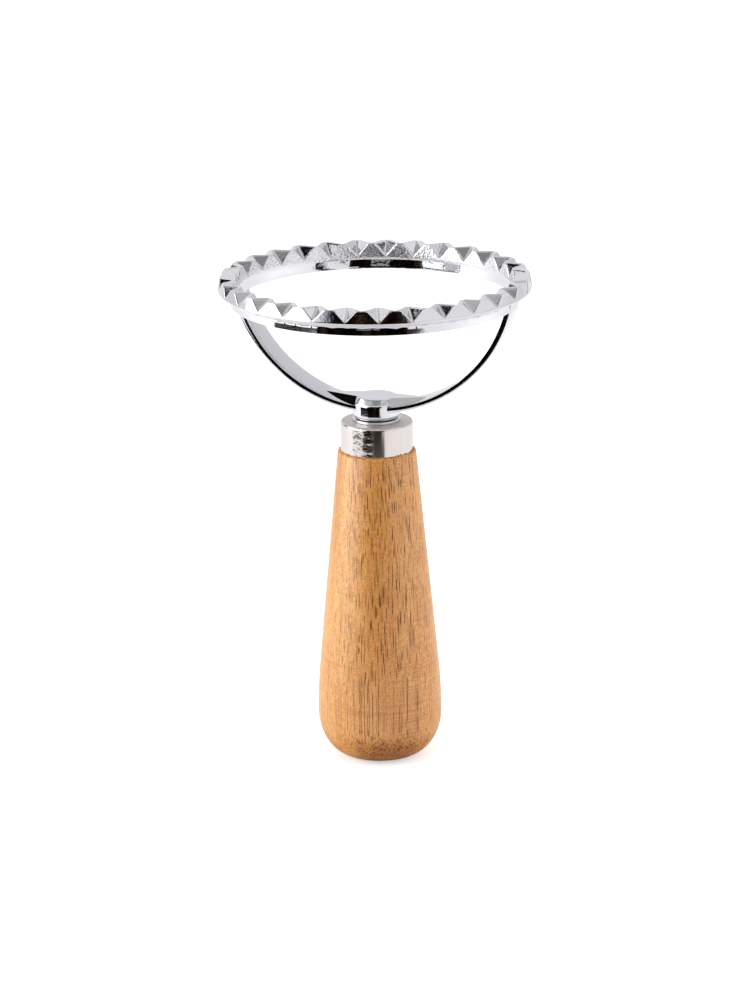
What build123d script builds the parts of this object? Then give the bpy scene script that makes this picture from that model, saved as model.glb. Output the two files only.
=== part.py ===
from build123d import *
import os
from math import acos, atan2, cos, degrees, hypot, pi, sin, sqrt

# Ravioli cutter: a toothed ring carried by a bow, whose boss is fixed to a turned wooden handle.
# Millimetres. The cutter stands on its handle with the ring uppermost: +Z is up, the origin is
# the centre of the handle's flat foot, and the bow lies in the XZ plane.

# Handle
handle_height = 72.0
handle_widest = 28.2
handle_widest_height = 10.0
handle_belly_radius = 130.0
handle_foot = 13.4
shoulder_proud = 0.6        # the wood's rim beyond the ferrule
shoulder_round = 0.5

# Ferrule
ferrule_diameter = 16.4
ferrule_height = 6.9
ferrule_wall = 0.6
ferrule_round = 0.6
ferrule_foot_round = 0.3
tenon_clearance = 0.05

# Tang that fixes the bow's boss to the handle
tang_diameter = 6.0
tang_clearance = 0.1
tang_depth = 3.5            # length of tang in the boss
tang_grip = 32.0            # and in the wood
tang_chamfer = 0.8
bore_spare = 2.0            # empty depth under the tang's tip

# Washer between ferrule and boss
washer_thickness = 0.65
washer_round = 0.2

# Boss of the bow: upright below, a cone on top
boss_diameter = 10.8
boss_height = 3.65
boss_foot_round = 1.1
cone_height = 1.45
cone_top_diameter = 9.0
cone_round = 0.2

# Strap of the bow
strap_width = 8.0
strap_thickness = 1.2
strap_round = 0.3
strap_rise = 1.95           # from the washer up to the lowest place of the strap
bow_depth = 23.7            # from the ring's lower edge down to the strap's inner side
lug_sink = 0.8              # how far the lugs run up into the crown

# Webs that thicken the strap beside the boss
web_drop = 0.1              # how far a web's flat top lies below the cone's
web_width = 5.3             # of the flat top, if it ran on to the boss's axis
web_tip_width = 0.8         # and where it runs out on the strap
web_slope = 48              # lean of its sides, in degrees

# Cutting ring
ring_diameter = 70.0
ring_height = 6.1
crown_width = 4.3
crown_height = 3.0
crown_outer_taper = 0.6
crown_inner_taper = 0.3
band_wall = 1.6
ledge_round = 0.15
band_root_round = 0.6
band_foot_round = 0.8

# Teeth of the crown
tooth_count = 30
outer_tip = 1.6             # width of a tooth's tip at the outer rim
inner_tip = 1.1             # and at the inner rim
ridge_land = 0.3            # flat left between a notch's end and the rim
outer_notch_depth = 2.5
inner_notch_depth = 3.0
notch_root = 0.35
notch_overshoot = 1.0

# Heights, stacked up from the foot
ferrule_top = handle_height + ferrule_height
tenon_top = ferrule_top - ferrule_wall
tang_tip = tenon_top - tang_grip
washer_top = ferrule_top + washer_thickness
tang_top = washer_top + tang_depth
boss_top = washer_top + boss_height
cone_top = boss_top + cone_height
strap_bottom = washer_top + strap_rise
ring_bottom = strap_bottom + strap_thickness + bow_depth
ring_top = ring_bottom + ring_height
ledge = ring_top - crown_height

# Radii that more than one piece shares
ring_radius = ring_diameter / 2
bore_radius = ring_radius - crown_width
tenon_radius = ferrule_diameter / 2 - ferrule_wall - tenon_clearance
hole_radius = (tang_diameter + tang_clearance) / 2

# The strap's inner side is one arc, through the bore's lower edge on both sides of the ring and down
# to bow_depth below it.
bend_radius = (bore_radius ** 2 + bow_depth ** 2) / (2 * bow_depth)
bend_height = ring_bottom - bow_depth + bend_radius


def turned(*corners):
    """Turn a closed outline about Z. Each corner is (radius, height, rounding)."""
    outline = FilletPolyline(*[corner[:2] for corner in corners],
                             radius=[corner[2] for corner in corners], close=True)
    return revolve(Plane.XZ * make_face(outline), Axis.Z)


def strap():
    """The bow's strap, bent on its arc and long enough to run up into the crown's ledge."""
    bend_axis = Axis((0, 0, bend_height), (0, 1, 0))
    lug_top = ledge + lug_sink
    arm_angle = degrees(acos((bend_height - lug_top) / bend_radius))
    section = Plane.YZ * Pos(0, strap_bottom + strap_thickness / 2) * RectangleRounded(
        strap_width, strap_thickness, strap_round)
    return revolve(section.rotate(bend_axis, -arm_angle), bend_axis, revolution_arc=2 * arm_angle)


def web():
    """Web beside the boss, along X: a flat top that narrows outwards, and sides that slope to the strap.

    It ends where the strap's arc rises past its top, and stays within the flat of the strap.
    """
    level = cone_top - web_drop
    reach = sqrt(bend_radius ** 2 - (bend_height - level) ** 2)
    top = make_face(Polyline((0, -web_width / 2), (reach, -web_tip_width / 2), (reach, web_tip_width / 2),
                             (0, web_width / 2), close=True))
    block = extrude(Pos(0, 0, level) * top, amount=level - strap_bottom, dir=(0, 0, -1), taper=-web_slope)
    within = Pos(0, 0, bend_height) * Rot(90, 0, 0) * Cylinder(bend_radius + strap_thickness / 2,
                                                               strap_width - 2 * strap_round)
    return block & within


def notch(mouth_radius, end_radius, mouth_half, depth):
    """Tool for one notch of the crown, cut along X with its end at the ring's top.

    It is one V-shaped section, drawn down a slope from nothing at the notch's end to full depth at
    its mouth and past it, so the root keeps its width and both flanks are flat.
    """
    root = notch_root / 2
    rise = depth + notch_overshoot
    top = root + (mouth_half - root) / depth * rise
    section = make_face(Polyline((end_radius, -root, ring_top), (end_radius, root, ring_top),
                                 (end_radius, top, ring_top + rise), (end_radius, -top, ring_top + rise),
                                 close=True))
    run = mouth_radius - end_radius
    past_mouth = 1 + notch_overshoot / abs(run)
    return extrude(section, amount=hypot(run, depth) * past_mouth, dir=(run, 0, -depth))


def cutting_ring():
    """Cast ring: zigzag crown on top, a thinner band below it and two lugs for the bow."""
    outer_top = ring_radius - crown_outer_taper
    inner_top = bore_radius + crown_inner_taper
    band_radius = bore_radius + band_wall
    ring = turned((inner_top, ring_top, 0), (outer_top, ring_top, 0),
                  (ring_radius, ledge, ledge_round), (band_radius, ledge, band_root_round),
                  (band_radius, ring_bottom, band_foot_round), (bore_radius, ring_bottom, 0),
                  (bore_radius, ring_top - inner_notch_depth, 0))
    ring += split(strap(), Plane.XY.offset(ring_bottom), keep=Keep.TOP)

    half_pitch = pi / tooth_count
    outer_mouth = outer_top + crown_outer_taper * outer_notch_depth / crown_height
    outer_notch = notch(outer_mouth, inner_top + ridge_land,
                        outer_mouth * half_pitch - outer_tip / 2, outer_notch_depth)
    inner_notch = notch(bore_radius, outer_top - ridge_land,
                        bore_radius * half_pitch - inner_tip / 2, inner_notch_depth)
    places = PolarLocations(0, tooth_count)
    between = PolarLocations(0, tooth_count, start_angle=180 / tooth_count)
    return ring - [place * outer_notch for place in places] - [place * inner_notch for place in between]


def bow():
    """Strap below the ring's lugs, with the boss that takes the tang and a web on both sides of it."""
    arms = split(strap(), Plane.XY.offset(ring_bottom), keep=Keep.BOTTOM)
    rim = boss_diameter / 2
    boss = turned((0, washer_top, 0), (rim, washer_top, boss_foot_round), (rim, boss_top, cone_round),
                  (cone_top_diameter / 2, cone_top, cone_round), (0, cone_top, 0))
    tang_hole = turned((0, washer_top, 0), (hole_radius, washer_top, 0),
                       (hole_radius, tang_top, 0), (0, tang_top, 0))
    return arms + boss + web() + mirror(web(), Plane.YZ) - tang_hole


def tang():
    """Plain rod from the bottom of the boss's hole down into the handle, chamfered at both ends."""
    side = tang_diameter / 2
    end = side - tang_chamfer
    return turned((0, tang_tip, 0), (end, tang_tip, 0), (side, tang_tip + tang_chamfer, 0),
                  (side, tang_top - tang_chamfer, 0), (end, tang_top, 0), (0, tang_top, 0))


def washer():
    """Plain disc between the ferrule and the boss."""
    rim = boss_diameter / 2
    return turned((hole_radius, ferrule_top, 0), (rim, ferrule_top, washer_round),
                  (rim, washer_top, washer_round), (hole_radius, washer_top, 0))


def ferrule():
    """Drawn cap that sits on the handle's shoulder and closes over its tenon."""
    outside = ferrule_diameter / 2
    inside = outside - ferrule_wall
    return turned((hole_radius, ferrule_top, 0), (outside, ferrule_top, ferrule_round),
                  (outside, handle_height, ferrule_foot_round), (inside, handle_height, 0),
                  (inside, tenon_top, max(ferrule_round - ferrule_wall, 0)), (hole_radius, tenon_top, 0))


def handle():
    """Turned grip: straight taper, long belly curve, rounded end and flat foot."""
    shoulder = ferrule_diameter / 2 + shoulder_proud
    widest = handle_widest / 2
    foot = handle_foot / 2
    belly_centre = widest - handle_belly_radius
    # The taper is the tangent from the shoulder's rim to the belly curve.
    across = shoulder - belly_centre
    up = handle_height - handle_widest_height
    turn = atan2(up, across) - acos(handle_belly_radius / hypot(up, across))
    belly_top = (belly_centre + handle_belly_radius * cos(turn),
                 handle_widest_height + handle_belly_radius * sin(turn))
    belly_middle = (belly_centre + handle_belly_radius * cos(turn / 2),
                    handle_widest_height + handle_belly_radius * sin(turn / 2))
    end = EllipticalCenterArc((foot, handle_widest_height), widest - foot, handle_widest_height,
                              start_angle=-90, arc_size=90)
    belly = ThreePointArc((widest, handle_widest_height), belly_middle, belly_top)
    rest = Polyline(belly_top, (shoulder, handle_height), (tenon_radius, handle_height),
                    (tenon_radius, tenon_top - ferrule_round), (tenon_radius - ferrule_round, tenon_top),
                    (hole_radius, tenon_top), (hole_radius, tang_tip - bore_spare),
                    (0, tang_tip - bore_spare), (0, 0), (foot, 0))
    grip = revolve(Plane.XZ * make_face([end, belly, rest]), Axis.Z)
    rims = grip.edges().filter_by(GeomType.CIRCLE).filter_by_position(Axis.Z, handle_height, handle_height)
    return fillet(rims.sort_by(SortBy.RADIUS)[-1], shoulder_round)


pieces = {
    "cutting_ring": cutting_ring(),
    "bow": bow(),
    "tang": tang(),
    "washer": washer(),
    "ferrule": ferrule(),
    "handle": handle(),
}
os.makedirs("parts", exist_ok=True)
for name, piece in pieces.items():
    export_step(piece, f"parts/{name}.step")
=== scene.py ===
from math import acos, atan2, cos, hypot, pi, radians, sin, sqrt, tan

import bmesh
import bpy
from mathutils import Matrix, Quaternion, Vector, noise


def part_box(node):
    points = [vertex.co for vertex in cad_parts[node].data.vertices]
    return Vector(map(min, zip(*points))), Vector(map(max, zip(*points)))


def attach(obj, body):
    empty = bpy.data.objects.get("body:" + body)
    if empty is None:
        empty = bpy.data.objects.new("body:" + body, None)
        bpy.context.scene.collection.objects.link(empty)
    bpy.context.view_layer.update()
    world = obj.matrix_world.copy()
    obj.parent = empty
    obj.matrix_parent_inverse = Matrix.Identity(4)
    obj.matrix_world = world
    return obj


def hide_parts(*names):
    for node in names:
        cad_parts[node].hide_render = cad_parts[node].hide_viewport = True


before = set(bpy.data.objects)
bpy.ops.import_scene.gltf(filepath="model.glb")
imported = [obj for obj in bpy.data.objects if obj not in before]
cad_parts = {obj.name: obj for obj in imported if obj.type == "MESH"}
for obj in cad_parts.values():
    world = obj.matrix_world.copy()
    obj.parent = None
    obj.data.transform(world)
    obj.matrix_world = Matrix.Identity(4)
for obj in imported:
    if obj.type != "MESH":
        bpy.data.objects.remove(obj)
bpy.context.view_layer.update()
mm = 0.001


# The handle is one piece of pale tropical hardwood, turned between centres, sanded and given a thin
# satin lacquer. Its open pores show as long dark dashes on the sides and as dots where the rounded
# end cuts across them, and the turning tool has left faint rings around it.
handle_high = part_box("handle")[1]
ferrule_low, ferrule_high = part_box("ferrule")
handle_widest = handle_high.x
handle_widest_height = 10.0 * mm
handle_belly = 130.0 * mm
handle_foot = 6.7 * mm
handle_shoulder = ferrule_low.z
shoulder_step, shoulder_round = 0.6 * mm, 0.5 * mm
shoulder_radius = ferrule_high.x + shoulder_step
ferrule_wall = 0.65 * mm
tenon_radius = ferrule_high.x - ferrule_wall
merge_distance = 0.001 * mm


def draw_section(mesh, corners, segments, closed=False):
    """Draw a piece's section from its corners, each a radius, a height and a rounding."""
    points = [mesh.verts.new((radius, 0, height)) for radius, height, rounding in corners]
    for pair in zip(points, points[1:] + (points[:1] if closed else [])):
        mesh.edges.new(pair)
    for point, (radius, height, rounding) in zip(points, corners):
        if rounding:
            bmesh.ops.bevel(mesh, geom=[point], offset=rounding, affect="VERTICES", segments=segments,
                            profile=0.5, material=-1)


def make_object(mesh, name, material):
    """Put the finished mesh into the scene as an object at the origin."""
    data = bpy.data.meshes.new(name)
    mesh.to_mesh(data)
    mesh.free()
    data.materials.append(material)
    made = bpy.data.objects.new(name, data)
    bpy.context.scene.collection.objects.link(made)
    return made


def finish_piece(mesh, name, material, node):
    """Make the mesh a smooth piece on the one body, in place of the CAD node."""
    bmesh.ops.remove_doubles(mesh, verts=mesh.verts, dist=merge_distance)
    bmesh.ops.recalc_face_normals(mesh, faces=mesh.faces)
    for face in mesh.faces:
        face.smooth = True
    piece = make_object(mesh, name, material)
    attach(piece, "root")
    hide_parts(node)


def hex_colour(code):
    """An sRGB hex code as a linear colour."""
    channels = [int(code[i:i + 2], 16) / 255 for i in (1, 3, 5)]
    return [c / 12.92 if c <= 0.04045 else ((c + 0.055) / 1.055) ** 2.4 for c in channels] + [1]


def add(tree, kind, links=None, **settings):
    """Add a node. Settings go on the node, and links maps its inputs to sockets or to values."""
    node = tree.nodes.new(kind)
    for name, value in settings.items():
        setattr(node, name, value)
    for name, value in (links or {}).items():
        if isinstance(value, bpy.types.NodeSocket):
            tree.links.new(value, node.inputs[name])
        else:
            node.inputs[name].default_value = value
    return node


def empty_tree(owner):
    """The node tree of a material or a world, with nothing in it."""
    owner.use_nodes = True
    owner.node_tree.nodes.clear()
    return owner.node_tree


def new_material(name):
    """A material, its node tree, its shader and the piece's own coordinates."""
    material = bpy.data.materials.new(name)
    tree = empty_tree(material)
    shader = add(tree, "ShaderNodeBsdfPrincipled")
    add(tree, "ShaderNodeOutputMaterial", {"Surface": shader.outputs["BSDF"]})
    return material, tree, shader, add(tree, "ShaderNodeTexCoord").outputs["Object"]


# Patterns of the wood: what each one follows, the width of a cell across that and its length along it,
# in millimetres, then the noise's detail and the two levels between which the pattern comes up. Fibre,
# specks and grit are drawn about twice as coarse as in real wood, so that they show.
wood_patterns = {
    "bands": ("grain", 5.0, 120.0, 2.0, 0.40, 0.62),
    "fibre": ("grain", 0.4, 8.0, 3.0, 0.42, 0.58),
    "specks": ("grain", 0.36, 0.4, 1.0, 0.44, 0.58),
    "grit": ("grain", 0.36, 0.9, 1.0, 0.50, 0.62),
    "flecks": ("grain", 1.0, 0.4, 3.0, 0.52, 0.68),
    "pore_rows": ("grain", 3.6, 60.0, 2.0, 0.40, 0.56),
    "pore_breaks": ("grain", 0.4, 2.8, 2.0, 0.34, 0.46),
    "tool_rings": ("lathe", 60.0, 0.42, 2.0, 0.46, 0.62),
    "tool_marks": ("lathe", 7.0, 7.0, 2.0, 0.46, 0.66),
    "deep_rings": ("lathe", 12.0, 0.8, 0.0, 0.72, 0.80),
}
pattern_shift = 50 * mm
grain_lean = (radians(-2.2), radians(-0.66), 0)
end_grain_high, end_grain_low = 9.0 * mm, 4.0 * mm

# The pores' spacing, their least and greatest radius, how far they wander and over what length, how
# much wider they open in the end grain and how much of their width is fully dark.
pore_spacing, thin_pore, thick_pore = 0.38 * mm, 0.084 * mm, 0.168 * mm
wander_width, wander_length = 1.0 * mm, 20 * mm
end_pore_growth, pore_core_share = 1.6, 0.6

# More pores lie in one upright layer of the wood, which runs down the middle of the handle as the camera
# sees it. The same layer is also painted shade: it tints the front of the handle a little darker and the
# front of the rounded end much darker, as if less light reached them. Its numbers: the way across it,
# where its middle is, how far it reaches and how far it is at its fullest.
layer_across = (0.957, 0.289, 0)
layer_middle, layer_reach, layer_core = 1.5 * mm, 10.0 * mm, 2.5 * mm

# The tool's rings are strongest low on the right: the way there, and where along it they grow.
worn_way = (0.9, 0, -0.3)
worn_start, worn_full = -6 * mm, 4 * mm


def lacquered_rubberwood():
    """Rubberwood under thin satin lacquer: warm tan, with open dark pores and a soft gloss.

    The pores are tubes through the whole piece, so the taper cuts them to dashes, the belly to long
    streaks and the rounded end to dots, as in the real wood. The grain leans a little off the axis.
    """
    material, tree, shader, place = new_material("lacquered_rubberwood")
    leaned = add(tree, "ShaderNodeMapping", {
        "Vector": place, "Rotation": grain_lean}, vector_type="TEXTURE")
    follow = {"grain": leaned.outputs["Vector"], "lathe": place}
    pattern = {}
    for name, (way, width, length, detail, low, high) in wood_patterns.items():
        apart = pattern_shift * len(pattern)
        cells = add(tree, "ShaderNodeMapping", {
            "Vector": follow[way], "Location": (apart, apart, apart),
            "Scale": (width * mm, width * mm, length * mm)}, vector_type="TEXTURE")
        cloud = add(tree, "ShaderNodeTexNoise", {
            "Vector": cells.outputs["Vector"], "Scale": 1.0, "Detail": detail, "Roughness": 0.55})
        pattern[name] = add(tree, "ShaderNodeMapRange", {
            "Value": cloud.outputs["Fac"], "From Min": low, "From Max": high}).outputs["Result"]

    height = add(tree, "ShaderNodeSeparateXYZ", {"Vector": place}).outputs["Z"]
    end_grain = add(tree, "ShaderNodeMapRange", {
        "Value": height, "From Min": end_grain_high, "From Max": end_grain_low},
        interpolation_type="SMOOTHSTEP").outputs["Result"]
    # Painted shade: besides crowding the pores, this layer darkens the middle of the handle as the camera
    # sees it.
    layer = add(tree, "ShaderNodeVectorMath", {
        0: follow["grain"], 1: layer_across}, operation="DOT_PRODUCT")
    aside = add(tree, "ShaderNodeMath", {
        0: layer.outputs["Value"], 1: layer_middle}, operation="SUBTRACT")
    from_layer = add(tree, "ShaderNodeMath", {0: aside.outputs["Value"]}, operation="ABSOLUTE")
    pore_layer_and_shade = add(tree, "ShaderNodeMapRange", {
        "Value": from_layer.outputs["Value"], "From Min": layer_reach, "From Max": layer_core},
        interpolation_type="SMOOTHSTEP").outputs["Result"]
    # Painted shade: the rounded end is darkened where the pore layer crosses it, as if little light
    # reached its front.
    painted_end_shade = add(tree, "ShaderNodeMath", {
        0: end_grain, 1: pore_layer_and_shade}, operation="MULTIPLY").outputs["Value"]

    wander = add(tree, "ShaderNodeTexNoise", {
        "Vector": place, "Scale": 1 / wander_length, "Detail": 2.0})
    strayed = add(tree, "ShaderNodeVectorMath", {
        0: wander.outputs["Color"], 1: (wander_width, wander_width, 0), 2: follow["grain"]},
        operation="MULTIPLY_ADD")
    pore_cells = add(tree, "ShaderNodeTexVoronoi", {
        "Vector": strayed.outputs["Vector"], "Scale": 1 / pore_spacing}, voronoi_dimensions="2D")
    pore_kind = add(tree, "ShaderNodeSeparateColor", {"Color": pore_cells.outputs["Color"]})
    pore_growth = add(tree, "ShaderNodeMapRange", {
        "Value": end_grain, "To Min": 1.0, "To Max": end_pore_growth})
    pore_width = add(tree, "ShaderNodeMapRange", {
        "Value": pore_kind.outputs["Red"], "To Min": thin_pore / pore_spacing,
        "To Max": thick_pore / pore_spacing})
    pore_size = add(tree, "ShaderNodeMath", {
        0: pore_width.outputs["Result"], 1: pore_growth.outputs["Result"]}, operation="MULTIPLY")
    pore_core = add(tree, "ShaderNodeMath", {
        0: pore_size.outputs["Value"], 1: pore_core_share}, operation="MULTIPLY")
    pore_shape = add(tree, "ShaderNodeMapRange", {
        "Value": pore_cells.outputs["Distance"], "From Min": pore_size.outputs["Value"],
        "From Max": pore_core.outputs["Value"]})
    pore_tone = add(tree, "ShaderNodeMapRange", {
        "Value": pore_kind.outputs["Green"], "To Min": 0.2, "To Max": 1.0})
    crowded = add(tree, "ShaderNodeMath", {
        0: pattern["pore_rows"], 1: 0.5, 2: pore_layer_and_shade}, operation="MULTIPLY_ADD")
    row_tone = add(tree, "ShaderNodeMapRange", {
        "Value": crowded.outputs["Value"], "To Min": 0.35, "To Max": 1.0})
    pores = pore_shape.outputs["Result"]
    for factor in (pore_tone.outputs["Result"], row_tone.outputs["Result"], pattern["pore_breaks"]):
        pores = add(tree, "ShaderNodeMath", {
            0: pores, 1: factor}, operation="MULTIPLY").outputs["Value"]

    worn = add(tree, "ShaderNodeVectorMath", {0: place, 1: worn_way}, operation="DOT_PRODUCT")
    marked = add(tree, "ShaderNodeMapRange", {
        "Value": worn.outputs["Value"], "From Min": worn_start, "From Max": worn_full,
        "To Min": 0.35, "To Max": 1.0})
    rings = pattern["tool_rings"]
    for factor in (pattern["tool_marks"], marked.outputs["Result"]):
        rings = add(tree, "ShaderNodeMath", {
            0: rings, 1: factor}, operation="MULTIPLY").outputs["Value"]

    # Each layer of colour covers its share of what lies below, where its pattern comes up. Two of them are
    # painted shade, not the wood's own colour: the pore layer's tan darkens the front of the handle, and
    # the dark brown at the rounded end darkens the front of that end.
    colour = add(tree, "ShaderNodeMix", {
        "Factor": pattern["bands"], "A": hex_colour("#eaa44f"), "B": hex_colour("#d98c38")},
        data_type="RGBA").outputs["Result"]
    for factor, share, code in (
            (pattern["fibre"], 0.45, "#b96e22"), (pattern["specks"], 0.4, "#fbcc7e"),
            (pattern["grit"], 0.3, "#a85f19"), (pattern["flecks"], 0.25, "#f8c876"),
            (pattern["pore_rows"], 0.2, "#b86720"), (pore_layer_and_shade, 0.12, "#b5661e"), (rings, 0.6, "#ab601e"),
            (pattern["deep_rings"], 0.25, "#a85c19"), (end_grain, 0.06, "#94500f"),
            (painted_end_shade, 0.55, "#9c5208"), (pores, 1.0, "#421d06")):
        covered = add(tree, "ShaderNodeMath", {0: factor, 1: share}, operation="MULTIPLY")
        colour = add(tree, "ShaderNodeMix", {
            "Factor": covered.outputs["Value"], "A": colour, "B": hex_colour(code)},
            data_type="RGBA").outputs["Result"]
    tree.links.new(colour, shader.inputs["Base Color"])

    # The pores lie twice as deep as the rings stand out, and neither they nor the end grain shine much.
    relief = add(tree, "ShaderNodeMath", {0: pores, 1: -2.0, 2: rings}, operation="MULTIPLY_ADD")
    bump = add(tree, "ShaderNodeBump", {
        "Height": relief.outputs["Value"], "Strength": 0.35, "Distance": 0.03 * mm})
    tree.links.new(bump.outputs["Normal"], shader.inputs["Normal"])
    bare = add(tree, "ShaderNodeMath", {0: end_grain, 1: pores}, operation="MAXIMUM")
    gloss = add(tree, "ShaderNodeMapRange", {
        "Value": bare.outputs["Value"], "To Min": 1.0, "To Max": 0.3})
    tree.links.new(gloss.outputs["Result"], shader.inputs["Specular IOR Level"])
    shader.inputs["Roughness"].default_value = 0.38
    return material


# The taper is the tangent from the shoulder's rim to the long belly curve above the widest place.
belly_centre = handle_widest - handle_belly
across = shoulder_radius - belly_centre
up = handle_shoulder - handle_widest_height
belly_turn = atan2(up, across) - acos(handle_belly / hypot(up, across))
end_points, belly_points, handle_steps = 14, 10, 320
handle_corners = [(0, 0, 0)]
for i in range(end_points):
    angle = pi / 2 * i / end_points
    handle_corners.append((handle_foot + (handle_widest - handle_foot) * sin(angle),
                           handle_widest_height * (1 - cos(angle)), 0))
for i in range(belly_points + 1):
    angle = belly_turn * i / belly_points
    handle_corners.append((belly_centre + handle_belly * cos(angle),
                           handle_widest_height + handle_belly * sin(angle), 0))
handle_corners += [(shoulder_radius, handle_shoulder, shoulder_round), (tenon_radius, handle_shoulder, 0),
                   (tenon_radius, handle_high.z, 0), (0, handle_high.z, 0)]
handle_mesh = bmesh.new()
draw_section(handle_mesh, handle_corners, segments=4)
bmesh.ops.spin(handle_mesh, geom=handle_mesh.verts[:] + handle_mesh.edges[:], cent=(0, 0, 0),
               axis=(0, 0, 1), angle=2 * pi, steps=handle_steps, use_merge=True)

# The saw and the tool have left the shoulder's rim a little ragged, so it rises in small chips.
chip_height, chip_width = 0.7 * mm, 1.1 * mm
fine_chip_share, fine_chip_width = 0.6, 0.45 * mm
least_chip = 0.05
ferrule_clearance = 0.02 * mm
for vert in handle_mesh.verts:
    on_rim = vert.co.z > handle_shoulder - shoulder_round
    if on_rim and vert.co.xy.length > ferrule_high.x + ferrule_clearance:
        ragged = noise.noise(vert.co / chip_width)
        ragged += fine_chip_share * noise.noise(vert.co / fine_chip_width)
        vert.co.z += chip_height * max(0, ragged - least_chip)
finish_piece(handle_mesh, "turned_handle", lacquered_rubberwood(), "handle")


# The ferrule is a drawn metal cap, polished on its drawn surface, pressed over the handle's tenon.
# The die has left faint upright marks in the polish, and one side is speckled with small dents.
dented_way = Vector((-0.245, -0.969, 0))
dents_start, dents_full = 0.88, 0.95
dent_width, dent_depth = 1.1 * mm, 0.055 * mm
die_mark_width, die_mark_length = 0.3 * mm, 30 * mm
rim_start, rim_end = ferrule_high.z - 0.15 * mm, ferrule_high.z - 0.02 * mm


def polished_ferrule():
    """Polished drawn aluminium: a bright, warm, slightly soft mirror with a dented side and a dull top."""
    material, tree, shader, place = new_material("polished_drawn_aluminium")
    facing = add(tree, "ShaderNodeVectorMath", {
        0: place, 1: dented_way / ferrule_high.x}, operation="DOT_PRODUCT")
    dented = add(tree, "ShaderNodeMapRange", {
        "Value": facing.outputs["Value"], "From Min": dents_start, "From Max": dents_full,
        "To Min": 0.03, "To Max": 1.0})
    dents = add(tree, "ShaderNodeTexNoise", {"Vector": place, "Scale": 1 / dent_width, "Detail": 1.5})
    relief = add(tree, "ShaderNodeMath", {
        0: dents.outputs["Fac"], 1: dented.outputs["Result"]}, operation="MULTIPLY")
    bump = add(tree, "ShaderNodeBump", {
        "Height": relief.outputs["Value"], "Strength": 1.0, "Distance": dent_depth})
    tree.links.new(bump.outputs["Normal"], shader.inputs["Normal"])
    height = add(tree, "ShaderNodeSeparateXYZ", {"Vector": place}).outputs["Z"]
    dullness = add(tree, "ShaderNodeMapRange", {
        "Value": height, "From Min": rim_start, "From Max": rim_end, "To Min": 0.1, "To Max": 0.5})
    tree.links.new(dullness.outputs["Result"], shader.inputs["Roughness"])
    upright = add(tree, "ShaderNodeMapping", {
        "Vector": place, "Scale": (1 / die_mark_width, 1 / die_mark_width, 1 / die_mark_length)})
    die_marks = add(tree, "ShaderNodeTexNoise", {
        "Vector": upright.outputs["Vector"], "Scale": 1.0, "Detail": 2.0})
    metal = add(tree, "ShaderNodeMix", {
        "Factor": die_marks.outputs["Fac"], "A": hex_colour("#cdc6c3"), "B": hex_colour("#dfd8d5")},
        data_type="RGBA")
    tree.links.new(metal.outputs["Result"], shader.inputs["Base Color"])
    shader.inputs["Metallic"].default_value = 1.0
    return material


def coat(node_name, material):
    """Give a CAD node its material."""
    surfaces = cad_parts[node_name].data.materials
    surfaces.clear()
    surfaces.append(material)


coat("ferrule", polished_ferrule())


# Washer and tang are turned steel under bright chrome plate. The tang holds the head on the handle, and
# the plate follows every small unevenness of the metal below it.
plate_wave_width = 0.4 * mm
steel_unevenness = 0.004 * mm


def bright_chrome(name, unevenness):
    """Decorative chrome plate: a neutral mirror, as uneven as the metal below."""
    material, tree, shader, place = new_material(name)
    waves = add(tree, "ShaderNodeTexNoise", {
        "Vector": place, "Scale": 1 / plate_wave_width, "Detail": 3.0})
    bump = add(tree, "ShaderNodeBump", {
        "Height": waves.outputs["Fac"], "Strength": 1.0, "Distance": unevenness})
    tree.links.new(bump.outputs["Normal"], shader.inputs["Normal"])
    shader.inputs["Base Color"].default_value = hex_colour("#dadade")
    shader.inputs["Metallic"].default_value = 1.0
    shader.inputs["Roughness"].default_value = 0.05
    return material, tree, shader, place


bow_chrome = bright_chrome("bright_chrome_on_bow", steel_unevenness)[0]
coat("washer", bow_chrome)
coat("tang", bow_chrome)


# The bow is a flat strap with nearly square edges, bent on one arc and chrome plated. The boss in its
# middle takes the tang, and a web on both sides of the boss stiffens the strap.
bow_low, bow_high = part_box("bow")
strap_width, strap_thickness, strap_round = 8.0 * mm, 1.2 * mm, 0.1 * mm
bow_depth = 23.7 * mm
bow_half_span = 30.7 * mm
bend_radius = (bow_half_span ** 2 + bow_depth ** 2) / (2 * bow_depth)
bend_centre = Vector((0, 0, bow_high.z - bow_depth + bend_radius))
cut_margin = radians(3)
bow_angle = acos((bend_centre.z - bow_high.z) / bend_radius) + cut_margin
bow_steps = 96
corner_angle = radians(20)


def geometry_of(verts):
    """The vertices with all their edges and faces."""
    geometry = set(verts)
    for vert in verts:
        geometry.update(vert.link_edges, vert.link_faces)
    return geometry


def mark_corners(mesh, verts):
    """Keep the shading of flat faces apart at the corners between them."""
    mesh.normal_update()
    for item in geometry_of(verts):
        if isinstance(item, bmesh.types.BMEdge) and item.calc_face_angle(0) > corner_angle:
            item.smooth = False


def bend_strap(mesh, start, end, steps):
    """Add a length of the strap, bent on its arc from one angle to another, and return its vertices."""
    before = set(mesh.verts)
    corners = [mesh.verts.new(bend_centre + Vector((0, side * strap_width / 2, -bend_radius - depth)))
               for side, depth in ((-1, strap_thickness), (1, strap_thickness), (1, 0), (-1, 0))]
    mesh.faces.new(corners)
    bmesh.ops.bevel(mesh, geom=corners, offset=strap_round, affect="VERTICES", segments=3, profile=0.5,
                    material=-1)
    section = set(mesh.verts) - before
    bmesh.ops.rotate(mesh, verts=list(section), cent=bend_centre, matrix=Matrix.Rotation(-start, 3, "Y"))
    bmesh.ops.spin(mesh, geom=list(geometry_of(section)), cent=bend_centre, axis=(0, -1, 0),
                   angle=end - start, steps=steps)
    strap = set(mesh.verts) - before
    mark_corners(mesh, strap)
    return strap


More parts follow.
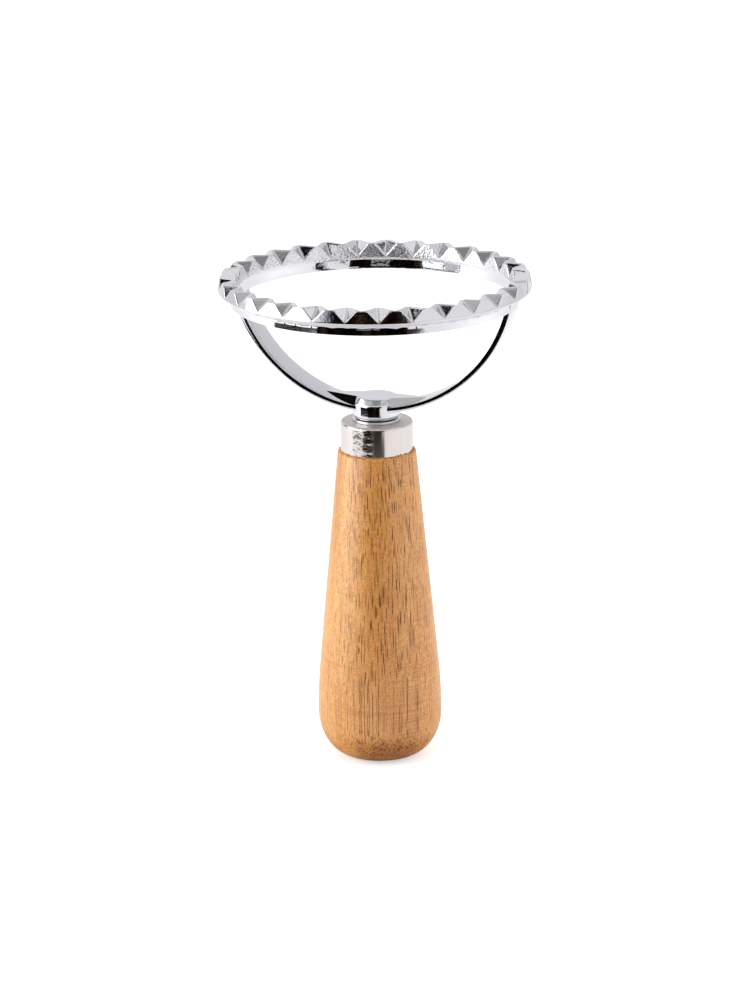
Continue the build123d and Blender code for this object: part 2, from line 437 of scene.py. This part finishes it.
def cut_strap(mesh, strap, **cleared):
    """Cut the strap level with the ring's lower edge, close the cut and return the rest's vertices."""
    cut = bmesh.ops.bisect_plane(mesh, geom=list(geometry_of(strap)), plane_co=(0, 0, bow_high.z),
                                 plane_no=(0, 0, 1), **cleared)["geom_cut"]
    bmesh.ops.edgeloop_fill(mesh, edges=[item for item in cut if isinstance(item, bmesh.types.BMEdge)])
    return ({vert for vert in strap if vert.is_valid}
            | {item for item in cut if isinstance(item, bmesh.types.BMVert)})


# The boss is turned: upright below, with a large rounding at its foot, and a cone on top.
boss_foot = bow_low.z
boss_radius, cone_radius = 5.4 * mm, 4.5 * mm
boss_height, cone_height = 3.65 * mm, 1.45 * mm
boss_top = boss_foot + boss_height
cone_top = boss_top + cone_height
boss_foot_round, cone_round = 1.1 * mm, 0.2 * mm
boss_edge_length, boss_steps = 0.3 * mm, 96
bow_mesh = bmesh.new()
draw_section(bow_mesh, [
    (0, boss_foot, 0), (boss_radius, boss_foot, boss_foot_round), (boss_radius, boss_top, cone_round),
    (cone_radius, cone_top, cone_round), (0, cone_top, 0)], segments=8)
for edge in list(bow_mesh.edges):
    cuts = int(edge.calc_length() / boss_edge_length)
    if cuts:
        bmesh.ops.subdivide_edges(bow_mesh, edges=[edge], cuts=cuts)
bmesh.ops.spin(bow_mesh, geom=bow_mesh.verts[:] + bow_mesh.edges[:], cent=(0, 0, 0), axis=(0, 0, 1),
               angle=2 * pi, steps=boss_steps, use_merge=True)
cut_strap(bow_mesh, bend_strap(bow_mesh, -bow_angle, bow_angle, bow_steps), clear_outer=True)

# A web is a low roof: its top narrows and rises a little outwards until the strap's arc meets it, and
# its sides slope down to the strap, but not past the strap's edges. It starts as a grid from -1 to 1
# whose two middle rows become the edges of the top.
web_root, web_reach = 2.0 * mm, 11.7 * mm
web_half_width, web_tip_half_width = 3.2 * mm, 0.3 * mm
web_drop = 0.1 * mm
web_level = cone_top - web_drop
web_tip_level = bend_centre.z - sqrt(bend_radius ** 2 - web_reach ** 2)
web_lean = tan(radians(48))
web_limit = strap_width / 2 - strap_round
web_sink = 0.3 * mm
web_columns, web_rows = 16, 3
before_web = set(bow_mesh.verts)
bmesh.ops.create_grid(bow_mesh, x_segments=web_columns, y_segments=web_rows, size=1.0)
web_roof = set(bow_mesh.verts) - before_web
web_base = bmesh.ops.extrude_face_region(bow_mesh, geom=[
    item for item in geometry_of(web_roof) if isinstance(item, bmesh.types.BMFace)])["geom"]
web_base = {item for item in web_base if isinstance(item, bmesh.types.BMVert)}
for vert in web_roof | web_base:
    out = web_root + (web_reach - web_root) * (vert.co.x + 1) / 2
    along = out / web_reach
    strap_level = bend_centre.z - sqrt(bend_radius ** 2 - out ** 2)
    top = web_level + (web_tip_level - web_level) * along
    half_width = web_half_width + (web_tip_half_width - web_half_width) * along
    side = 1 if vert.co.y > 0 else -1
    in_outer_row = abs(vert.co.y) > 0.5
    if in_outer_row:
        foot = min(web_limit, half_width + (top - strap_level + web_sink) * web_lean)
        top -= (foot - half_width) / web_lean
        half_width = foot
    vert.co = (out, side * half_width, strap_level - 2 * web_sink if vert in web_base else top)
mark_corners(bow_mesh, web_roof | web_base)
bmesh.ops.mirror(bow_mesh, geom=list(geometry_of(web_roof | web_base)), axis="X")
finish_piece(bow_mesh, "bent_bow", bow_chrome, "bow")


# The cutting ring is a casting, ground, polished and chrome plated. Thirty V notches from outside and
# thirty from inside leave a zigzag ridge on top, and polishing has rounded all its edges. Two lugs
# below the crown take the ends of the bow.
ring_low, ring_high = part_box("cutting_ring")
ring_bottom, ring_top = ring_low.z, ring_high.z
ring_radius = 35.0 * mm
crown_width, crown_height = 4.3 * mm, 3.0 * mm
ledge = ring_top - crown_height
bore_radius = ring_radius - crown_width
outer_taper, inner_taper = 0.6 * mm, 0.3 * mm
outer_top = ring_radius - outer_taper
inner_top = bore_radius + inner_taper
band_wall = 1.6 * mm
band_radius = bore_radius + band_wall
slope_height = 1.2 * mm
bore_round, band_round, slope_round, ledge_round = 0.15 * mm, 0.1 * mm, 0.15 * mm, 0.2 * mm
outer_round, inner_round = 0.18 * mm, 0.3 * mm
ridge_round, root_round = 0.2 * mm, 0.14 * mm
tooth_count = 30
pitch = 2 * pi / tooth_count
outer_depth, inner_depth = 2.5 * mm, 3.0 * mm
outer_tip, inner_tip = 1.6 * mm, 1.1 * mm
ridge_land = 0.3 * mm
outer_mouth = outer_top + outer_taper * outer_depth / crown_height


def notch_depth(radius, angle, mouth, end, depth, tip):
    """How deep a V notch is at a place: its root rises from the mouth to nothing at its end."""
    slope = depth / (mouth * pitch / 2 - tip / 2)
    along = (radius * cos(angle) - end) / (mouth - end)
    from_root = hypot(radius * sin(angle), root_round) - root_round
    below = depth * along - slope * from_root
    return (below + hypot(below, ridge_round)) / 2


def crown_depth(radius, angle):
    """How far the crown lies below the ring's top, an outer notch being at 0 and an inner one half way."""
    from_outer = angle - pitch * round(angle / pitch)
    from_inner = angle - pitch / 2
    return (notch_depth(radius, from_outer, outer_mouth, inner_top + ridge_land, outer_depth, outer_tip)
            + notch_depth(radius, from_inner, bore_radius, outer_top - ridge_land, inner_depth, inner_tip))


# One pitch of the ring is a spun section whose top is let down to the notches. Both walls are let
# down with it and keep their lean, and the pitch is then repeated round the ring. Below the teeth the
# casting slopes in to the upright band. The lean moves a point as it is let down, so how far it goes
# is worked out in a few rounds.
crown_edge_length, wall_edge_length = 0.12 * mm, 0.6 * mm
crown_floor = ring_top - 0.05 * mm
pitch_steps, lean_rounds = 36, 4
outer_foot, inner_foot = ledge + ledge_round, ring_bottom + 1.2 * mm
ring_mesh = bmesh.new()
draw_section(ring_mesh, [
    (bore_radius, ring_bottom, bore_round), (band_radius, ring_bottom, band_round),
    (band_radius, ledge - slope_height, slope_round), (ring_radius, ledge, ledge_round),
    (outer_top, ring_top, outer_round), (inner_top, ring_top, inner_round),
    (bore_radius, ring_top - inner_depth, 0)], segments=5, closed=True)
for edge in list(ring_mesh.edges):
    on_crown = min(vert.co.z for vert in edge.verts) > crown_floor
    cuts = int(edge.calc_length() / (crown_edge_length if on_crown else wall_edge_length))
    if cuts:
        bmesh.ops.subdivide_edges(ring_mesh, edges=[edge], cuts=cuts)
bmesh.ops.spin(ring_mesh, geom=ring_mesh.verts[:] + ring_mesh.edges[:], cent=(0, 0, 0), axis=(0, 0, 1),
               angle=pitch, steps=pitch_steps)
for vert in ring_mesh.verts:
    radius = vert.co.xy.length
    angle = atan2(vert.co.y, vert.co.x)
    outside = min(1, max(0, (radius - inner_top) / (outer_top - inner_top)))
    lean = (outer_taper * outside - inner_taper * (1 - outside)) / crown_height
    foot = outer_foot if outside > 0.5 else inner_foot
    head = ring_top - (outer_round if outside > 0.5 else inner_round)
    drop = 0
    for lean_round in range(lean_rounds):
        drop = crown_depth(min(max(radius, inner_top), outer_top) + lean * drop, angle)
    drop *= min(1, max(0, (vert.co.z - foot) / (head - foot)))
    lowered = max(bore_radius, radius + lean * drop)
    vert.co = (lowered * cos(angle), lowered * sin(angle), vert.co.z - drop)
bmesh.ops.spin(ring_mesh, geom=ring_mesh.verts[:] + ring_mesh.edges[:] + ring_mesh.faces[:],
               cent=(0, 0, 0), axis=(0, 0, 1), angle=2 * pi - pitch, steps=tooth_count - 1,
               use_duplicate=True)

# The band was ground, so it is upright right up to its roundings, and its shading stops there too.
band_ends = (ring_bottom + band_round, ledge - slope_height - slope_round)
near = 0.01 * mm
for edge in ring_mesh.edges:
    for end in band_ends:
        if all(abs(vert.co.z - end) < near and abs(vert.co.xy.length - band_radius) < near
               for vert in edge.verts):
            edge.smooth = False

# Each lug is the end of the bow's strap, bent on the bow's own arc and carried up into the crown.
lug_sink = 0.8 * mm
lug_start = bow_angle - 2 * cut_margin
lug_end = acos((bend_centre.z - ledge - lug_sink) / bend_radius)
lug_steps = 6
lug = cut_strap(ring_mesh, bend_strap(ring_mesh, lug_start, lug_end, lug_steps), clear_inner=True)
bmesh.ops.mirror(ring_mesh, geom=list(geometry_of(lug)), axis="X")

# The grinder took the skin off the band and the lower bore only. Above it the metal is as cast.
casting_unevenness = 0.0015 * mm
bore_edge = inner_top + 0.25 * mm
ground_high, cast_low = ring_bottom + 2.2 * mm, ring_bottom + 2.8 * mm
teeth_low = ledge + 0.3 * mm
sand_width, dip_width, skin_depth = 0.5 * mm, 2.5 * mm, 0.15 * mm
dip_share = 0.35


def plated_casting():
    """Chrome over a casting: a mirror on the band, uneven on the teeth and grainy where it is as cast."""
    material, tree, shader, place = bright_chrome("bright_chrome_on_casting", casting_unevenness)
    level = add(tree, "ShaderNodeVectorMath", {0: place, 1: (1, 1, 0)}, operation="MULTIPLY")
    from_axis = add(tree, "ShaderNodeVectorMath", {0: level.outputs["Vector"]}, operation="LENGTH")
    height = add(tree, "ShaderNodeSeparateXYZ", {"Vector": place}).outputs["Z"]
    inside = add(tree, "ShaderNodeMapRange", {
        "Value": from_axis.outputs["Value"], "From Min": bore_edge, "From Max": inner_top})
    unground = add(tree, "ShaderNodeMapRange", {
        "Value": height, "From Min": ground_high, "From Max": cast_low})
    as_cast = add(tree, "ShaderNodeMath", {
        0: inside.outputs["Result"], 1: unground.outputs["Result"]}, operation="MULTIPLY")
    dullness = add(tree, "ShaderNodeMapRange", {
        "Value": as_cast.outputs["Value"], "To Min": 0.05, "To Max": 0.15})
    tree.links.new(dullness.outputs["Result"], shader.inputs["Roughness"])
    on_teeth = add(tree, "ShaderNodeMapRange", {
        "Value": height, "From Min": ledge, "From Max": teeth_low, "To Max": 0.2})
    grain = add(tree, "ShaderNodeMath", {
        0: as_cast.outputs["Value"], 1: on_teeth.outputs["Result"]}, operation="MAXIMUM")
    sand = add(tree, "ShaderNodeTexNoise", {"Vector": place, "Scale": 1 / sand_width, "Detail": 3.0})
    pits = add(tree, "ShaderNodeMath", {
        0: sand.outputs["Fac"], 1: grain.outputs["Value"]}, operation="MULTIPLY")
    dips = add(tree, "ShaderNodeTexNoise", {"Vector": place, "Scale": 1 / dip_width, "Detail": 3.0})
    bore_dips = add(tree, "ShaderNodeMath", {
        0: dips.outputs["Fac"], 1: inside.outputs["Result"]}, operation="MULTIPLY")
    relief = add(tree, "ShaderNodeMath", {
        0: bore_dips.outputs["Value"], 1: dip_share, 2: pits.outputs["Value"]},
        operation="MULTIPLY_ADD")
    skin = add(tree, "ShaderNodeBump", {
        "Height": relief.outputs["Value"], "Strength": 1.0, "Distance": skin_depth,
        "Normal": shader.inputs["Normal"].links[0].from_socket})
    tree.links.new(skin.outputs["Normal"], shader.inputs["Normal"])
    return material


finish_piece(ring_mesh, "toothed_ring", plated_casting(), "cutting_ring")


# The stage is a white table in a white room, with a soft lamp at each side and one above. Only the end
# of the room behind the camera is dark: screens that no camera sees stand for it in the metal and
# darken the front of the wood a little.
view_azimuth = radians(16.8)
view_height = radians(16.8)
to_right = Vector((cos(view_azimuth), sin(view_azimuth), 0))
to_front = Vector((sin(view_azimuth), -cos(view_azimuth), 0))
toward_camera = to_front * cos(view_height) + Vector((0, 0, sin(view_height)))
cutter_middle = Vector((0, 0, 60.0 * mm))
table_half_width = 4000 * mm
camera_glow, mirror_glow = 0.5, 0.12


def white_table():
    """White in the picture, nearly white in the metal and an ordinary matt white to all other light."""
    material = bpy.data.materials.new("white_table")
    tree = empty_tree(material)
    path = add(tree, "ShaderNodeLightPath")
    mirrored = add(tree, "ShaderNodeMath", {
        0: path.outputs["Is Glossy Ray"], 1: path.outputs["Is Transmission Ray"]}, operation="MAXIMUM")
    in_mirrors = add(tree, "ShaderNodeMath", {
        0: mirrored.outputs["Value"], 1: mirror_glow}, operation="MULTIPLY")
    strength = add(tree, "ShaderNodeMath", {
        0: path.outputs["Is Camera Ray"], 1: camera_glow, 2: in_mirrors.outputs["Value"]},
        operation="MULTIPLY_ADD")
    glow = add(tree, "ShaderNodeEmission", {
        "Color": hex_colour("#ffffff"), "Strength": strength.outputs["Value"]})
    matt = add(tree, "ShaderNodeBsdfDiffuse", {"Color": hex_colour("#f0f0f0")})
    both = add(tree, "ShaderNodeAddShader", {0: glow.outputs["Emission"], 1: matt.outputs["BSDF"]})
    add(tree, "ShaderNodeOutputMaterial", {"Surface": both.outputs["Shader"]})
    return material


table_mesh = bmesh.new()
bmesh.ops.create_grid(table_mesh, x_segments=1, y_segments=1, size=table_half_width)
make_object(table_mesh, "table", white_table())

# The screens are hung with cloth. One is faded left of a place, and the others end before theirs.
cloth_patch, fade_width = 30 * mm, 26 * mm
front_fade, no_fade = -115 * mm, -500 * mm


def screen_cloth(name, dark, pale, faded):
    """Matt cloth, uneven in tone in patches as wide as a thumb, and pale left of where it is faded."""
    material, tree, shader, place = new_material(name)
    patches = add(tree, "ShaderNodeTexNoise", {"Vector": place, "Scale": 1 / cloth_patch, "Detail": 2.0})
    patch = add(tree, "ShaderNodeMapRange", {
        "Value": patches.outputs["Fac"], "From Min": 0.5, "From Max": 0.72})
    tone = add(tree, "ShaderNodeMix", {
        "Factor": patch.outputs["Result"], "A": hex_colour(dark), "B": hex_colour(pale)},
        data_type="RGBA")
    sideways = add(tree, "ShaderNodeVectorMath", {0: place, 1: to_right}, operation="DOT_PRODUCT")
    fade = add(tree, "ShaderNodeMapRange", {
        "Value": sideways.outputs["Value"], "From Min": faded, "From Max": faded - fade_width},
        interpolation_type="SMOOTHSTEP")
    faded_tone = add(tree, "ShaderNodeMix", {
        "Factor": fade.outputs["Result"], "A": tone.outputs["Result"], "B": hex_colour("#d0d4dc")},
        data_type="RGBA")
    tree.links.new(faded_tone.outputs["Result"], shader.inputs["Base Color"])
    shader.inputs["Roughness"].default_value = 1.0
    shader.inputs["Specular IOR Level"].default_value = 0.0
    return material


# Each screen stands on part of a circle round the cutter. Its angles count from the camera's side,
# to the right, and it may tilt, its right end up.
screen_steps = 24
dark_cloth = screen_cloth("dark_cloth", "#030202", "#33251c", no_fade)
front_cloth = screen_cloth("faded_dark_cloth", "#030202", "#5c4838", front_fade)
brown_cloth = screen_cloth("brown_cloth", "#2e2724", "#8d7d71", no_fade)
grey_cloth = screen_cloth("grey_cloth", "#a6adad", "#b8bcbc", no_fade)
for name, distance, low, high, left, right, tilt, cloth in (
        ("dark_front", 235 * mm, 100 * mm, 185 * mm, -37, 23.5, 0, front_cloth),
        ("dark_front_middle", 235 * mm, 26 * mm, 100 * mm, -44, 23.5, 0, dark_cloth),
        ("dark_front_low", 235 * mm, 14 * mm, 26 * mm, -44, 15.6, 0, dark_cloth),
        ("dark_front_foot", 235 * mm, 0, 14 * mm, -44, 23.5, 0, brown_cloth),
        ("dark_left", 262 * mm, 44 * mm, 52 * mm, -82, -43, 2.2, dark_cloth),
        ("dark_left_low", 262 * mm, 6.5 * mm, 22 * mm, -81, -43, 0, dark_cloth),
        ("dark_right", 262 * mm, 46.5 * mm, 60 * mm, 22, 37, 4.5, dark_cloth),
        ("grey_front", 230 * mm, 38 * mm, 48.5 * mm, -14, 3, 0, grey_cloth)):
    screen_mesh = bmesh.new()
    start = to_front * cos(radians(left)) + to_right * sin(radians(left))
    ends = [screen_mesh.verts.new(start * distance + Vector((0, 0, height))) for height in (low, high)]
    bmesh.ops.spin(screen_mesh, geom=ends + [screen_mesh.edges.new(ends)], cent=(0, 0, 0),
                   axis=(0, 0, 1), angle=radians(right - left), steps=screen_steps)
    middle = Matrix.Rotation(radians(right - left) / 2, 3, "Z") @ start
    bmesh.ops.rotate(screen_mesh, verts=screen_mesh.verts, cent=Vector((0, 0, (low + high) / 2)),
                     matrix=Matrix.Rotation(radians(tilt), 3, middle))
    screen = make_object(screen_mesh, name, cloth)
    screen.visible_camera = False
    screen.visible_shadow = False


def softbox(name, direction, distance, height, width, tall, watts):
    """A rectangular area lamp that looks at the middle of the cutter."""
    lamp = bpy.data.lights.new(name, "AREA")
    lamp.shape = "RECTANGLE"
    lamp.size = width
    lamp.size_y = tall
    lamp.energy = watts
    box = bpy.data.objects.new(name, lamp)
    box.location = direction.normalized() * distance + Vector((0, 0, height))
    box.rotation_euler = (cutter_middle - box.location).to_track_quat("-Z", "Y").to_euler()
    bpy.context.scene.collection.objects.link(box)
    return box


softbox("softbox_left", to_front * 0.26 - to_right * 0.97, distance=550 * mm, height=190 * mm,
        width=580 * mm, tall=500 * mm, watts=2.5)
softbox("softbox_right", to_right, distance=600 * mm, height=250 * mm, width=400 * mm, tall=500 * mm,
        watts=1.1).visible_glossy = False
softbox("softbox_top", -to_front, distance=100 * mm, height=700 * mm, width=600 * mm, tall=600 * mm,
        watts=1.0).visible_glossy = False

# The metal shows that the room is not white all over. Each place in it has its left, right, low and high
# edge in degrees, as seen from the cutter with the camera straight ahead, and its colour.
room_places = (
    ("ceiling", -190, 190, 62, 95, "#cccccc"),
    ("front_beam", -35, 62, 46, 64, "#959595"),
    ("front_beam_top", -18, 62, 60, 70, "#959595"),
    ("white_panel", 32, 66, 40, 51, "#f4f4f6"),
    ("dark_corner", -112, -38, 47, 63, "#0f0d0c"),
    ("left_lamp_stand", -131, -120, 8, 34, "#3a3a3c"),
    ("right_lamp_stand", 98, 110, 20, 42, "#505052"),
    ("right_back_wall", 120, 170, 2, 40, "#e1e1e4"),
    ("back_wall", 170, 190, 2, 40, "#efeff1"),
    ("left_back_wall", -190, -165, 2, 40, "#efeff1"))
edge_softness = radians(2.5)
room_light = 0.82
world = bpy.data.worlds.new("white_room")
bpy.context.scene.world = world
room = empty_tree(world)
way = add(room, "ShaderNodeTexCoord").outputs["Generated"]
ahead = add(room, "ShaderNodeVectorMath", {0: way, 1: to_front}, operation="DOT_PRODUCT")
aside = add(room, "ShaderNodeVectorMath", {0: way, 1: to_right}, operation="DOT_PRODUCT")
azimuth = add(room, "ShaderNodeMath", {
    0: aside.outputs["Value"], 1: ahead.outputs["Value"]}, operation="ARCTAN2").outputs["Value"]
upward = add(room, "ShaderNodeSeparateXYZ", {"Vector": way}).outputs["Z"]
elevation = add(room, "ShaderNodeMath", {0: upward}, operation="ARCSINE").outputs["Value"]
mirrored = hex_colour("#ffffff")
for name, left, right, low, high, code in room_places:
    inside = 1.0
    for angle, edge, side in ((azimuth, left, 1), (azimuth, right, -1), (elevation, low, 1),
                              (elevation, high, -1)):
        step = add(room, "ShaderNodeMapRange", {
            "Value": angle, "From Min": radians(edge) - side * edge_softness,
            "From Max": radians(edge) + side * edge_softness}, interpolation_type="SMOOTHSTEP")
        inside = add(room, "ShaderNodeMath", {
            0: inside, 1: step.outputs["Result"]}, operation="MULTIPLY").outputs["Value"]
    mirrored = add(room, "ShaderNodeMix", {
        "Factor": inside, "A": mirrored, "B": hex_colour(code)}, data_type="RGBA",
        label=name).outputs["Result"]
path = add(room, "ShaderNodeLightPath")
reflected = add(room, "ShaderNodeMath", {
    0: path.outputs["Is Glossy Ray"], 1: path.outputs["Is Transmission Ray"]}, operation="MAXIMUM")
seen = add(room, "ShaderNodeMath", {
    0: reflected.outputs["Value"], 1: path.outputs["Is Camera Ray"]}, operation="MAXIMUM")
room_colour = add(room, "ShaderNodeMix", {
    "Factor": reflected.outputs["Value"], "A": hex_colour("#ffffff"), "B": mirrored}, data_type="RGBA")
room_strength = add(room, "ShaderNodeMapRange", {
    "Value": seen.outputs["Value"], "To Min": room_light, "To Max": 1.0})
background = add(room, "ShaderNodeBackground", {
    "Color": room_colour.outputs["Result"], "Strength": room_strength.outputs["Result"]})
add(room, "ShaderNodeOutputWorld", {"Surface": background.outputs["Background"]})

# The camera looks a little down on the cutter from its right-hand front.
camera_distance = 850 * mm
camera_roll = radians(-0.71)
camera_data = bpy.data.cameras.new("camera")
camera_data.sensor_fit = "VERTICAL"
camera_data.sensor_height = 36
camera_data.lens = 135.4
camera_data.shift_x = -0.0026
camera = bpy.data.objects.new("camera", camera_data)
camera.location = cutter_middle + toward_camera * camera_distance
aim = (-toward_camera).to_track_quat("-Z", "Y")
camera.rotation_euler = (aim @ Quaternion((0, 0, 1), camera_roll)).to_euler()
bpy.context.scene.collection.objects.link(camera)
bpy.context.scene.camera = camera
bpy.context.scene.view_settings.view_transform = "Standard"
